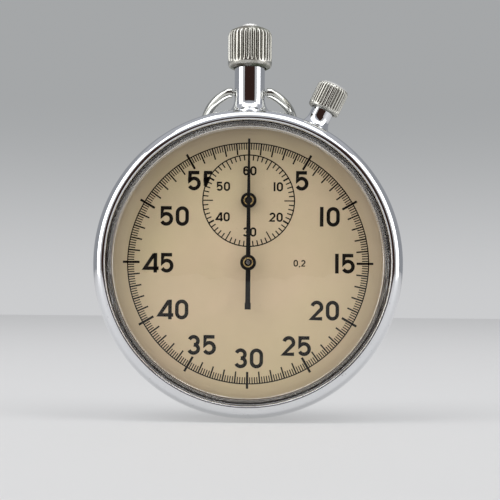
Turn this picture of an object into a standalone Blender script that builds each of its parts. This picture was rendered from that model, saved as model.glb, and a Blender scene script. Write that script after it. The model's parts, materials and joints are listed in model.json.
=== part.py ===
"""A two-button mechanical stopwatch, as an assembly of separate pieces.

Every piece is drawn in millimetres under one empty, "watch", which turns the drawing upright and scales
it to metres. In the drawing x points to the right, y to the 12 on the dial and z from the back cover to
the crystal, with z = 0 on the back cover's flat face. In the world the dial faces -Y, the crown is at +Z
and the origin is the middle of the back cover's flat face.
"""

from math import atan2, cos, hypot, pi, radians, sin, sqrt, tau

import bmesh
import bpy

MM = 0.001

# ---------------------------------------------------------------------------------------------------------
# Driving dimensions, in millimetres
# ---------------------------------------------------------------------------------------------------------
CASE_R = 27.5            # widest radius of the case band
CASE_INNER_R = 24.9      # bore that takes the movement and the dial
GAP = 0.1                # working gap between neighbouring pieces
PIVOT_GAP = 0.08         # radial play of a pivot in its hole

BUTTON_Z = 7.0           # height of the crown's and the button's axes above the back
BUTTON_ANGLE = radians(25.5)   # the reset button stands this far clockwise of the 12
CROWN_PUSH = 1.0         # travel of the crown
BUTTON_PUSH = 1.2        # travel of the reset button

NECK_TOP, NECK_R, NECK_BORE_R = 37.4, 2.75, 1.7
STEM_R = 0.9
TUBE_TOP, TUBE_R, TUBE_BORE_R = 32.7, 2.0, 1.3
PLUNGER_R = 0.8
SPRING_SEAT = 28.3       # where the crown's and the button's springs stand in their tubes
STEM_LOW, STEM_TOP = 16.9, 41.3
PLUNGER_LOW, PLUNGER_TOP = 21.3, 35.4

CROWN_LOW, CROWN_HIGH, CROWN_R = 35.5, 43.5, 4.0
CAP_LOW, CAP_HIGH, CAP_R = 30.9, 36.1, 2.95
KNURLS = 30

BOW_PIVOT = 31.0         # distance of the bow's pins from the middle of the dial
BOW_RING_R, BOW_WIRE_R, BOW_PIN_R = 8.2, 0.85, 0.45
BOW_END_X = 3.15         # the bow's end faces, either side of the neck
BOW_REST = radians(42)   # the bow hangs behind the case at this angle from straight down

# Layers of the movement, from the back to the front
BRIDGE_Z = (2.8, 4.0)
THIRD_WHEEL_Z = (4.3, 4.65)
WINDING_Z = (4.7, 5.4)
SECONDS_WHEEL_Z = (5.0, 5.35)
BARREL_Z = (5.65, 8.1)
BARREL_TEETH_Z = (7.3, 8.1)
HOUR_WHEEL_Z = (8.4, 8.75)
ESCAPE_Z = (6.4, 6.7)
FORK_Z = (6.35, 6.75)
FORK_BRIDGE_Z = (5.5, 5.9)
BALANCE_Z = (4.4, 5.1)
HAIRSPRING_Z = (3.6, 3.9)
COCK_Z = (2.2, 3.2)
CAM_Z = (1.9, 2.4)
PLATE_Z = (9.0, 10.4)
DIAL_Z = (10.7, 11.2)
MINUTE_HAND_Z = (11.75, 11.9)
SWEEP_HAND_Z = (12.5, 12.7)
PLATE_R, DIAL_R = 22.0, 24.2

# Gear train: teeth of each wheel and leaves of the pinion that it meets, with the pair's module
BARREL_TEETH, HOUR_LEAVES, BARREL_MODULE = 60, 10, 0.28
HOUR_TEETH, THIRD_LEAVES, HOUR_MODULE = 48, 6, 0.27
THIRD_TEETH, SECONDS_LEAVES, THIRD_MODULE = 45, 6, 0.26
SECONDS_TEETH, ESCAPE_LEAVES, SECONDS_MODULE = 60, 6, 0.2
WINDING_LEAVES, CROWN_WHEEL_TEETH, IDLER_TEETH, RATCHET_TEETH, WINDING_MODULE = 8, 17, 10, 23, 0.4
ESCAPE_TEETH, ESCAPE_R = 15, 3.0
FINE_WHEEL_TEETH = 40    # wheels with this many teeth or more have pointed ones


def pair_distance(teeth_a, teeth_b, module):
    return module * (teeth_a + teeth_b) / 2


def meeting_point(a, reach_a, b, reach_b, side):
    """The point reach_a from a and reach_b from b, left (side 1) or right (side -1) of the line a to b."""
    apart = hypot(b[0] - a[0], b[1] - a[1])
    ux, uy = (b[0] - a[0]) / apart, (b[1] - a[1]) / apart
    along = (reach_a**2 - reach_b**2 + apart**2) / (2 * apart)
    off = sqrt(reach_a**2 - along**2) * side
    return a[0] + ux * along - uy * off, a[1] + uy * along + ux * off


def step(start, angle, reach):
    return start[0] + reach * cos(angle), start[1] + reach * sin(angle)


# Where the arbors stand on the main plate
SECONDS_AT = (0.0, 0.0)
HOUR_AT = (0.0, 11.0)
THIRD_AT = meeting_point(
    SECONDS_AT, pair_distance(THIRD_TEETH, SECONDS_LEAVES, THIRD_MODULE),
    HOUR_AT, pair_distance(HOUR_TEETH, THIRD_LEAVES, HOUR_MODULE), -1)
BARREL_AT = meeting_point(
    SECONDS_AT, 12.9, HOUR_AT, pair_distance(BARREL_TEETH, HOUR_LEAVES, BARREL_MODULE), 1)
ESCAPEMENT_ANGLE = radians(-62)
ESCAPE_AT = step(SECONDS_AT, ESCAPEMENT_ANGLE, pair_distance(SECONDS_TEETH, ESCAPE_LEAVES, SECONDS_MODULE))
FORK_AT = step(ESCAPE_AT, ESCAPEMENT_ANGLE, 3.9)
BALANCE_AT = step(FORK_AT, ESCAPEMENT_ANGLE, 4.4)
CROWN_WHEEL_AT = (0.0, 15.5)
IDLER_AT = meeting_point(
    CROWN_WHEEL_AT, pair_distance(CROWN_WHEEL_TEETH, IDLER_TEETH, WINDING_MODULE),
    BARREL_AT, pair_distance(IDLER_TEETH, RATCHET_TEETH, WINDING_MODULE), -1)
CLICK_AT = (-16.6, 10.2)
HAMMER_AT = (16.5, 8.0)
START_LEVER_AT = (5.0, 18.2)
COLUMN_WHEEL_AT = (12.6, 11.2)
BRAKE_AT = (17.2, -1.0)
COCK_FOOT_AT = (-1.5, -17.0)
PILLARS_AT = ((-19.0, -2.0), (-8.5, -13.0), (-6.0, 18.0), (19.3, 3.4))
DIAL_FEET_AT = ((-17.5, -9.0), (17.5, -9.0))
BALANCE_R = 5.6

# ---------------------------------------------------------------------------------------------------------
# Scene, materials and placing
# ---------------------------------------------------------------------------------------------------------
for leftover in list(bpy.data.objects):
    bpy.data.objects.remove(leftover)


def new_collection(name):
    collection = bpy.data.collections.new(name)
    bpy.context.scene.collection.children.link(collection)
    return collection


PARTS = new_collection("mechanical_stopwatch")
CUTTERS = new_collection("cutters")


def new_material(name, colour, metallic, roughness, alpha=1.0):
    made = bpy.data.materials.new(name)
    made.use_nodes = True
    shader = made.node_tree.nodes["Principled BSDF"]
    shader.inputs["Base Color"].default_value = (*colour, 1)
    shader.inputs["Metallic"].default_value = metallic
    shader.inputs["Roughness"].default_value = roughness
    shader.inputs["Alpha"].default_value = alpha
    return made


MATERIALS = {
    "chrome": new_material("chrome", (0.78, 0.79, 0.80), 1.0, 0.08),
    "nickel": new_material("nickel", (0.62, 0.61, 0.57), 1.0, 0.3),
    "acrylic": new_material("acrylic", (0.95, 0.95, 0.93), 0.0, 0.05, 0.25),
    "dial": new_material("dial", (0.62, 0.53, 0.38), 0.0, 0.45),
    "black": new_material("black", (0.02, 0.02, 0.02), 0.0, 0.4),
    "brass": new_material("brass", (0.72, 0.55, 0.25), 1.0, 0.3),
    "gilt": new_material("gilt", (0.80, 0.66, 0.38), 1.0, 0.35),
    "steel": new_material("steel", (0.55, 0.56, 0.58), 1.0, 0.2),
    "blued": new_material("blued", (0.05, 0.08, 0.30), 1.0, 0.25),
    "ruby": new_material("ruby", (0.55, 0.03, 0.10), 0.0, 0.1),
}


def new_axis(name, parent, location, turn):
    axis = bpy.data.objects.new(name, None)
    PARTS.objects.link(axis)
    axis.parent = parent
    axis.location = location
    axis.rotation_euler = turn
    return axis


WATCH = new_axis("watch", None, (0, 0, 0), (pi / 2, 0, 0))
WATCH.scale = (MM, MM, MM)
# On these axes z runs outwards from the middle of the dial.
CROWN_AXIS = new_axis("crown_axis", WATCH, (0, 0, BUTTON_Z), (-pi / 2, 0, 0))
BUTTON_AXIS = new_axis("button_axis", WATCH, (0, 0, BUTTON_Z), (-pi / 2, 0, -BUTTON_ANGLE))


def place(piece, slot, axis=WATCH, at=(0, 0, 0)):
    """Puts a piece in the parts collection under an axis; a piece with no slot is a cutter or a helper."""
    (PARTS if slot else CUTTERS).objects.link(piece)
    piece.parent = axis
    piece.location = at
    if slot:
        piece.data.materials.append(MATERIALS[slot])
    else:
        piece.hide_render = True
        piece.display_type = "WIRE"
    return piece


# ---------------------------------------------------------------------------------------------------------
# Shapes
# ---------------------------------------------------------------------------------------------------------
def circle(radius, points=24, centre=(0, 0), start=0.0):
    return [step(centre, start + tau * i / points, radius) for i in range(points)]


def arc(centre, radius, start, end, points):
    return [step(centre, start + (end - start) * i / (points - 1), radius) for i in range(points)]


def turned(name, profile, slot, axis=WATCH, at=(0, 0, 0), steps=24):
    """A turned solid. The profile is (radius, height) pairs that run down the outer side; a profile that
    doesn't start on the axis is closed into a ring."""
    mesh = bpy.data.meshes.new(name)
    edges = [(i, i + 1) for i in range(len(profile) - 1)]
    if profile[0][0] > 0:
        edges.append((len(profile) - 1, 0))
    mesh.from_pydata([(r, 0, z) for r, z in profile], edges, [])
    piece = place(bpy.data.objects.new(name, mesh), slot, axis, at)
    screw = piece.modifiers.new("turn", "SCREW")
    screw.axis = "Z"
    screw.steps = screw.render_steps = steps
    screw.use_merge_vertices = True
    screw.merge_threshold = 0.0001
    screw.use_smooth_shade = True
    return piece


def flat(name, outlines, heights, slot, at=(0, 0), axis=WATCH):
    """A plate of even thickness: the first outline is its edge, and the others are holes in it."""
    curve = bpy.data.curves.new(name, "CURVE")
    curve.dimensions = "2D"
    curve.fill_mode = "BOTH"
    curve.extrude = (heights[1] - heights[0]) / 2
    for outline in outlines:
        spline = curve.splines.new("POLY")
        spline.points.add(len(outline) - 1)
        for point, (x, y) in zip(spline.points, outline):
            point.co = (x, y, 0, 1)
        spline.use_cyclic_u = True
    middle = (heights[0] + heights[1]) / 2
    return place(bpy.data.objects.new(name, curve), slot, axis, (at[0], at[1], middle))


def wire(name, points, radius, slot, axis=WATCH, at=(0, 0, 0), radii=None, roundness=2):
    """A wire of round section along the points, with a share of the radius at each if radii is given."""
    curve = bpy.data.curves.new(name, "CURVE")
    curve.dimensions = "3D"
    curve.bevel_depth = radius
    curve.bevel_resolution = roundness
    curve.use_fill_caps = True
    spline = curve.splines.new("POLY")
    spline.points.add(len(points) - 1)
    for i, (point, place_of) in enumerate(zip(spline.points, points)):
        point.co = (*place_of, 1)
        point.radius = radii[i] if radii else 1.0
    return place(bpy.data.objects.new(name, curve), slot, axis, at)


def as_mesh(piece):
    """A curve made a closed mesh, so that a Boolean can use it."""
    bpy.context.view_layer.update()
    evaluated = piece.evaluated_get(bpy.context.evaluated_depsgraph_get())
    mesh = bpy.data.meshes.new_from_object(evaluated)
    work = bmesh.new()
    work.from_mesh(mesh)
    bmesh.ops.remove_doubles(work, verts=work.verts, dist=0.0001)
    bmesh.ops.recalc_face_normals(work, faces=work.faces)
    work.to_mesh(mesh)
    work.free()
    name, axis, at = piece.name, piece.parent, tuple(piece.location)
    home, hidden = piece.users_collection[0], piece.hide_render
    slots = list(piece.data.materials)
    bpy.data.objects.remove(piece)
    made = bpy.data.objects.new(name, mesh)
    home.objects.link(made)
    made.parent = axis
    made.location = at
    made.hide_render = hidden
    made.display_type = "WIRE" if hidden else "TEXTURED"
    mesh.materials.clear()
    for slot in slots:
        mesh.materials.append(slot)
    return made


def combine(piece, others, operation):
    if piece.type == "CURVE":
        piece = as_mesh(piece)
    for other in others:
        if other.type == "CURVE":
            other = as_mesh(other)
        boolean = piece.modifiers.new(operation.lower(), "BOOLEAN")
        boolean.operation = operation
        boolean.object = other
        boolean.solver = "EXACT"
    return piece


def cut(piece, *cutters):
    return combine(piece, cutters, "DIFFERENCE")


def join(piece, *others):
    return combine(piece, others, "UNION")


def rod(name, radius, low, high, at=(0, 0), slot=None, steps=16, axis=WATCH):
    return turned(name, [(0, high), (radius, high), (radius, low), (0, low)], slot, axis, (*at, 0), steps)


def stepped(name, levels, slot, at=(0, 0), steps=12, axis=WATCH):
    """A turned shaft from (low, high, radius) levels given from the top down."""
    profile = [(0, levels[0][1])]
    for low, high, radius in levels:
        profile += [(radius, high), (radius, low)]
    profile.append((0, levels[-1][0]))
    return turned(name, profile, slot, axis, (*at, 0), steps)


def toothed(teeth, module, phase=0.0, tip=0.75, root=1.1, root_share=0.46, tip_share=0.2):
    """The outline of a gear whose first tooth points at the angle phase; fine wheels have pointed teeth."""
    pitch_r, pitch = teeth * module / 2, tau / teeth
    tips = (0,) if teeth >= FINE_WHEEL_TEETH else (-tip_share / 2, tip_share / 2)
    corners = [(pitch_r - root * module, -root_share / 2)]
    corners += [(pitch_r + tip * module, offset) for offset in tips]
    corners.append((pitch_r - root * module, root_share / 2))
    return [step((0, 0), phase + (i + offset) * pitch, radius)
            for i in range(teeth) for radius, offset in corners]


def mesh_phase(at_a, teeth_a, phase_a, at_b, teeth_b):
    """The phase that puts gear b in mesh with gear a."""
    line = atan2(at_b[1] - at_a[1], at_b[0] - at_a[0])
    share = (line - phase_a) / (tau / teeth_a)
    return line + pi - (0.5 - share) * tau / teeth_b


def spoke_windows(inner, outer, count, half_spoke, points=5):
    """Openings between the spokes of a wheel, with spokes of even width."""
    windows = []
    for i in range(count):
        start, end = tau * i / count, tau * (i + 1) / count
        out_off, in_off = half_spoke / outer, half_spoke / inner
        windows.append(
            arc((0, 0), outer, start + out_off, end - out_off, points)
            + arc((0, 0), inner, end - in_off, start + in_off, 3))
    return windows


def bar(start, end, start_half, end_half, points=5):
    """The outline of a lever's arm: a bar with round ends."""
    along = atan2(end[1] - start[1], end[0] - start[0])
    return (arc(start, start_half, along + pi / 2, along + 3 * pi / 2, points)
            + arc(end, end_half, along - pi / 2, along + pi / 2, points))


def bitten_disc(radius, bites, points):
    """A disc's outline with round bites, each (centre, radius), taken out of its edge."""
    outline = []
    for i in range(points):
        angle = tau * i / points
        reach = radius
        for (cx, cy), bite_r in bites:
            towards = cx * cos(angle) + cy * sin(angle)
            under = towards**2 - (cx**2 + cy**2 - bite_r**2)
            if under > 0 and towards > 0:
                reach = min(reach, towards - sqrt(under))
        outline.append(step((0, 0), angle, reach))
    return outline


def coil(radius, low, high, turns, points_a_turn):
    total = int(turns * points_a_turn)
    return [(*step((0, 0), tau * i / points_a_turn, radius), low + (high - low) * i / total)
            for i in range(total + 1)]


def spiral(inner, outer, turns, thickness, points_a_turn):
    """The outline of a flat strip wound into a spiral."""
    total = int(turns * points_a_turn)
    sides = []
    for offset in (-thickness / 2, thickness / 2):
        sides.append([step((0, 0), tau * i / points_a_turn, inner + (outer - inner) * i / total + offset)
                      for i in range(total + 1)])
    return sides[0] + sides[1][::-1]


# ---------------------------------------------------------------------------------------------------------
# Case
# ---------------------------------------------------------------------------------------------------------
def build_case():
    band = turned("case_body", [
        (25.9, 12.6), (25.9, 11.6), (27.05, 11.6), (27.38, 10.2), (CASE_R, 8.6), (CASE_R, 7.0),
        (27.25, 5.4), (26.75, 4.3), (26.3, 3.8), (25.5, 3.8), (25.5, 3.15), (CASE_INNER_R, 3.15),
        (CASE_INNER_R, 12.6)], "chrome", steps=48)
    neck = turned("neck_shape", [
        (0, NECK_TOP), (NECK_R, NECK_TOP), (NECK_R, 29.3), (2.85, 28.6), (3.2, 27.9), (3.3, 27.4), (3.3, 26.0),
        (0, 26.0)], None, CROWN_AXIS, steps=32)
    tube = turned("tube_shape", [
        (0, TUBE_TOP), (TUBE_R, TUBE_TOP), (TUBE_R, 29.0), (2.15, 28.4), (2.6, 27.8), (2.9, 27.3), (2.9, 26.0),
        (0, 26.0)], None, BUTTON_AXIS, steps=24)
    neck_bore = stepped("neck_bore", [
        (SPRING_SEAT, NECK_TOP + 1, NECK_BORE_R), (23.0, SPRING_SEAT, STEM_R + PIVOT_GAP)],
        None, axis=CROWN_AXIS, steps=24)
    tube_bore = stepped("tube_bore", [
        (SPRING_SEAT, TUBE_TOP + 1, TUBE_BORE_R), (23.0, SPRING_SEAT, PLUNGER_R + PIVOT_GAP)],
        None, axis=BUTTON_AXIS, steps=24)
    pin_holes = rod("bow_pin_holes", BOW_PIN_R + PIVOT_GAP, -4, 4, steps=14)
    pin_holes.parent = CROWN_AXIS
    pin_holes.location = (0, 0, BOW_PIVOT)
    pin_holes.rotation_euler = (0, pi / 2, 0)
    band = join(band, neck, tube)
    cut(band, neck_bore, tube_bore, pin_holes)

    turned("front_bezel", [
        (24.7, 15.0), (25.0, 15.3), (25.6, 15.15), (26.4, 14.5), (27.0, 13.4), (27.15, 12.5), (27.15, 11.75),
        (26.05, 11.75), (26.05, 12.8), (23.6, 12.8), (23.6, 13.05), (24.7, 13.05)], "chrome", steps=48)
    turned("crystal", [
        (0, 19.0), (8, 18.8), (14, 18.2), (18.5, 17.4), (21.5, 16.6), (23.4, 15.9), (24.3, 15.4), (24.6, 14.9),
        (24.6, 13.15), (24.1, 13.15), (24.1, 14.4), (23.7, 14.9), (22.8, 15.3), (20.9, 15.95), (17.8, 16.6),
        (13.5, 17.2), (8, 17.75), (0, 18.0)], "acrylic", steps=40)
    turned("crystal_ring", [(23.65, 14.2), (23.95, 14.2), (23.95, 13.15), (23.65, 13.15)], "chrome", steps=36)
    turned("back_cover", [
        (0, 0.9), (21.0, 0.9), (22.3, 1.15), (23.5, 1.7), (24.6, 2.45), (25.4, 3.0), (25.6, 3.05), (25.6, 3.65),
        (26.5, 3.65), (26.45, 3.25), (26.0, 2.8), (25.0, 1.95), (24.0, 1.12), (23.0, 0.45), (22.0, 0.12),
        (20.5, 0.0), (0, 0.0)], "chrome", steps=48)
    turned("movement_ring", [(22.3, 10.4), (24.6, 10.4), (24.6, 8.5), (22.3, 8.5)], "brass", steps=36)


def build_bow():
    """The wire loop that hangs behind the case on two pins in the neck's sides."""
    ring_at = sqrt(BOW_RING_R**2 - (BOW_END_X + 0.6)**2)
    shoulder = atan2(-ring_at, -(BOW_END_X + 0.6))
    half = [(-1.9, 0.0), (-BOW_END_X + 0.02, 0.0), (-BOW_END_X, 0.0)]
    shares = [BOW_PIN_R / BOW_WIRE_R, BOW_PIN_R / BOW_WIRE_R, 1.15]
    loop = [(x, y + ring_at) for x, y in arc((0, 0), BOW_RING_R, shoulder, -3 * pi - shoulder, 25)]
    path = half + loop + [(-x, y) for x, y in half[::-1]]
    radii = shares + [1.0] * len(loop) + shares[::-1]
    # The loop is drawn in a plane through the pins that leans back from straight down.
    lean = new_axis("bow_axis", WATCH, (0, BOW_PIVOT, BUTTON_Z), (-pi + BOW_REST, 0, 0))
    wire("bow", [(x, y, 0) for x, y in path], BOW_WIRE_R, "chrome", lean, radii=radii, roundness=2)


# ---------------------------------------------------------------------------------------------------------
# Crown and reset button
# ---------------------------------------------------------------------------------------------------------
def knurled(piece, radius, low, high, depth, axis):
    """Cuts straight grooves into a turned knob between two heights."""
    grooves = []
    for i in range(KNURLS):
        middle = tau * i / KNURLS
        for offset, reach in ((-0.5, radius + 0.2), (0, radius - depth)):
            grooves.append(step((0, 0), middle + offset * tau / KNURLS, reach))
    ring = flat(piece.name + "_knurl", [circle(radius + 2, 30), grooves], (low, high), None, axis=axis)
    return cut(piece, ring)


def build_crown():
    socket_r, roof = NECK_R + 0.2, NECK_TOP + CROWN_PUSH + 0.3
    knob = turned("crown", [
        (0, CROWN_HIGH), (1.4, CROWN_HIGH - 0.05), (2.7, CROWN_HIGH - 0.6), (3.7, CROWN_HIGH - 1.2),
        (CROWN_R, CROWN_HIGH - 1.6), (CROWN_R, CROWN_LOW + 0.6), (3.2, CROWN_LOW), (socket_r, CROWN_LOW),
        (socket_r, roof), (STEM_R + 0.05, roof), (STEM_R + 0.05, STEM_TOP + GAP), (0, STEM_TOP + GAP)],
        "nickel", CROWN_AXIS, steps=30)
    knurled(knob, CROWN_R, CROWN_LOW + 0.5, CROWN_HIGH - 0.9, 0.35, CROWN_AXIS)
    stepped("winding_stem", [(24.0, STEM_TOP, STEM_R), (STEM_LOW, 24.0, 0.55)], "steel", axis=CROWN_AXIS,
            steps=16)
    wire("crown_spring", coil(1.32, SPRING_SEAT + 0.25, roof - 0.3, 6, 10), 0.18, "steel", CROWN_AXIS,
         roundness=0)


def build_reset_button():
    socket_r, roof = TUBE_R + 0.2, TUBE_TOP + BUTTON_PUSH + 0.2
    cap = turned("reset_button", [
        (0, CAP_HIGH), (1.8, CAP_HIGH - 0.1), (2.7, CAP_HIGH - 0.35), (CAP_R, CAP_HIGH - 0.75),
        (CAP_R, CAP_LOW + 0.3), (2.6, CAP_LOW), (socket_r, CAP_LOW), (socket_r, roof), (PLUNGER_R + 0.05, roof),
        (PLUNGER_R + 0.05, PLUNGER_TOP + GAP), (0, PLUNGER_TOP + GAP)], "nickel", BUTTON_AXIS, steps=30)
    knurled(cap, CAP_R, CAP_LOW + 0.25, CAP_HIGH - 0.5, 0.28, BUTTON_AXIS)
    stepped("reset_plunger", [(PLUNGER_LOW, PLUNGER_TOP, PLUNGER_R)], "steel", axis=BUTTON_AXIS, steps=16)
    wire("reset_spring", coil(1.05, SPRING_SEAT + 0.2, roof - 0.2, 5, 10), 0.13, "steel", BUTTON_AXIS,
         roundness=0)


# ---------------------------------------------------------------------------------------------------------
# Movement: plates, bridges, jewels and screws
# ---------------------------------------------------------------------------------------------------------
PIVOT_R = 0.18
THICK_PIVOT_R = 0.3
JEWEL_R = 0.9


def build_plates():
    pivots = [THIRD_AT, ESCAPE_AT, FORK_AT, BALANCE_AT]
    holes = [circle(PIVOT_R + PIVOT_GAP, 8, at) for at in pivots]
    holes += [circle(0.55 + PIVOT_GAP, 12, at) for at in (SECONDS_AT, HOUR_AT)]
    holes += [circle(0.5 + PIVOT_GAP, 10, at) for at in (BARREL_AT, *DIAL_FEET_AT)]
    plate = flat("main_plate", [circle(PLATE_R, 48), *holes], PLATE_Z, "gilt")
    posts = []
    for i, at in enumerate((*PILLARS_AT, COCK_FOOT_AT)):
        top = COCK_Z[1] if at == COCK_FOOT_AT else BRIDGE_Z[1]
        posts.append(flat(f"pillar_shape_{i}", [circle(1.3, 14), circle(0.55, 10)],
                          (top + GAP, PLATE_Z[0] + 0.5), None, at))
    for name, at, radius, low in (
        ("start_lever_post", START_LEVER_AT, 0.6, 5.2), ("column_wheel_post", COLUMN_WHEEL_AT, 0.7, 4.5),
        ("brake_post", BRAKE_AT, 0.6, 4.3),
    ):
        posts.append(rod(name, radius, low, PLATE_Z[0] + 0.5, at, steps=12))
    join(plate, *posts)

    bites = [(BALANCE_AT, 7.0), ((9.0, 19.2), 3.6), (COCK_FOOT_AT, 2.6)]
    holes = [circle(JEWEL_R + 0.03, 12, at) for at in (HOUR_AT, THIRD_AT, SECONDS_AT, ESCAPE_AT)]
    holes += [circle(0.7, 10, at) for at in PILLARS_AT]
    holes += [circle(1.0 + PIVOT_GAP, 12, BARREL_AT), circle(0.55, 10, HAMMER_AT)]
    bridge = flat("train_bridge", [bitten_disc(20.8, bites, 60), *holes], BRIDGE_Z, "gilt")
    posts = [rod(name, radius, BRIDGE_Z[0] + 0.5, WINDING_Z[1] + 0.1, at, steps=12) for name, at, radius in (
        ("idler_post", IDLER_AT, 0.6), ("crown_wheel_post", CROWN_WHEEL_AT, 0.8), ("click_post", CLICK_AT, 0.5))]
    join(bridge, *posts)
    for name, at, bore in (
        ("hour_jewel", HOUR_AT, THICK_PIVOT_R), ("third_jewel", THIRD_AT, PIVOT_R),
        ("seconds_jewel", SECONDS_AT, THICK_PIVOT_R), ("escape_jewel", ESCAPE_AT, PIVOT_R),
    ):
        flat(name, [circle(JEWEL_R, 12), circle(bore + PIVOT_GAP, 8)], (3.0, 3.8), "ruby", at)
    for i, at in enumerate(PILLARS_AT):
        build_screw(f"bridge_screw_{i + 1}", at, BRIDGE_Z[0])


def build_screw(name, at, seat):
    """A cheese-head screw with a slot, its head on the back side of the seat."""
    head = stepped(name, [(seat - GAP, seat + 3.0, 0.5), (seat - GAP - 0.7, seat - GAP, 1.2)], "steel", at, 12)
    low = seat - GAP - 0.7
    slot = flat(name + "_slot", [[(-1.5, -0.13), (1.5, -0.13), (1.5, 0.13), (-1.5, 0.13)]],
                (low - 0.3, low + 0.3), None, at)
    cut(head, slot)


def build_balance_cock():
    flat("balance_cock", [
        bar((0, 0), (BALANCE_AT[0] - COCK_FOOT_AT[0], BALANCE_AT[1] - COCK_FOOT_AT[1]), 2.2, 1.7, 9),
        circle(0.7, 10), circle(0.6, 10, (BALANCE_AT[0] - COCK_FOOT_AT[0], BALANCE_AT[1] - COCK_FOOT_AT[1]))],
        COCK_Z, "gilt", COCK_FOOT_AT)
    flat("balance_jewel", [circle(0.57, 12), circle(PIVOT_R + PIVOT_GAP, 8)], (2.4, 3.0), "ruby", BALANCE_AT)
    build_screw("cock_screw", COCK_FOOT_AT, COCK_Z[0])


# ---------------------------------------------------------------------------------------------------------
# Winding work and barrel
# ---------------------------------------------------------------------------------------------------------
CROWN_WHEEL_PHASE = pi / 2


def build_winding():
    flat("winding_pinion", [toothed(WINDING_LEAVES, WINDING_MODULE, pi / 2 + pi / WINDING_LEAVES),
                            circle(0.55 + PIVOT_GAP, 12)], (18.55, 19.7), "steel", axis=CROWN_AXIS)
    flat("crown_wheel", [toothed(CROWN_WHEEL_TEETH, WINDING_MODULE, CROWN_WHEEL_PHASE),
                         circle(0.8 + PIVOT_GAP, 12)], WINDING_Z, "steel", CROWN_WHEEL_AT)
    idler_phase = mesh_phase(CROWN_WHEEL_AT, CROWN_WHEEL_TEETH, CROWN_WHEEL_PHASE, IDLER_AT, IDLER_TEETH)
    flat("winding_idler", [toothed(IDLER_TEETH, WINDING_MODULE, idler_phase),
                           circle(0.6 + PIVOT_GAP, 12)], WINDING_Z, "steel", IDLER_AT)
    ratchet_phase = mesh_phase(IDLER_AT, IDLER_TEETH, idler_phase, BARREL_AT, RATCHET_TEETH)
    square = [step((0, 0), pi / 4 + pi / 2 * i, 0.95) for i in range(4)]
    flat("ratchet_wheel", [toothed(RATCHET_TEETH, WINDING_MODULE, ratchet_phase), square], WINDING_Z,
         "steel", BARREL_AT)
    nose = step((0, 0), radians(205), 5.15)
    nose = (BARREL_AT[0] + nose[0] - CLICK_AT[0], BARREL_AT[1] + nose[1] - CLICK_AT[1])
    body = bar((0, 0), (nose[0] * 0.6, nose[1] * 0.6), 1.1, 0.45)
    body = body[:6] + [nose, body[-1]]
    flat("click", [body, circle(0.5 + PIVOT_GAP, 10)], (4.75, 5.25), "steel", CLICK_AT)


def build_barrel():
    teeth = toothed(BARREL_TEETH, BARREL_MODULE, barrel_phase())
    body_r, wall = 7.75, 0.35
    drum = turned("barrel_drum", [
        (body_r, BARREL_Z[1] - 0.1), (body_r, 5.95), (body_r - wall, 5.95), (body_r - wall, 7.6),
        (0.75 + PIVOT_GAP, 7.6), (0.75 + PIVOT_GAP, BARREL_Z[1] - 0.1)], "brass", WATCH, (*BARREL_AT, 0), 28)
    rim = flat("barrel_rim_shape", [teeth, circle(body_r - 0.2, 28)], (BARREL_TEETH_Z[0], BARREL_TEETH_Z[1]),
               None, BARREL_AT)
    join(drum, rim)
    flat("barrel_cover", [circle(body_r - wall - 0.05, 32), circle(0.75 + PIVOT_GAP, 12)],
         (BARREL_Z[0], 5.9), "brass", BARREL_AT)
    square = flat("arbor_square_shape", [[step((0, 0), pi / 4 + pi / 2 * i, 0.88) for i in range(4)]],
                  (4.65, 5.6), None, BARREL_AT)
    arbor = stepped("barrel_arbor", [
        (8.3, 10.1, 0.5), (7.5, 8.3, 0.75), (6.0, 7.5, 1.4), (5.5, 6.0, 0.75), (4.6, 5.5, 0.6),
        (3.0, 4.6, 1.0)], "steel", BARREL_AT, 16)
    join(arbor, square)
    flat("mainspring", [spiral(1.75, 7.1, 5, 0.25, 14)], (6.1, 7.4), "blued", BARREL_AT)


# ---------------------------------------------------------------------------------------------------------
# Going train and hands
# ---------------------------------------------------------------------------------------------------------
def hour_pinion_phase():
    return 0.0


def barrel_phase():
    return mesh_phase(HOUR_AT, HOUR_LEAVES, hour_pinion_phase(), BARREL_AT, BARREL_TEETH)


def heart_outline(low, high, points=22):
    """A heart cam: its radius grows from low, at the notch, to high, at the point opposite."""
    outline = []
    for i in range(points):
        turn = tau * i / points
        share = 1 - abs(turn - pi) / pi
        outline.append(step((0, 0), turn, low + (high - low) * share))
    return outline


def build_arbor(name, at, levels, leaves, module, phase, heights):
    """A pinion's leaves on a turned arbor."""
    arbor = stepped(name, levels, "steel", at, 12)
    pinion = flat(name + "_leaves", [toothed(leaves, module, phase)], heights, None, at)
    return join(arbor, pinion)


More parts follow.
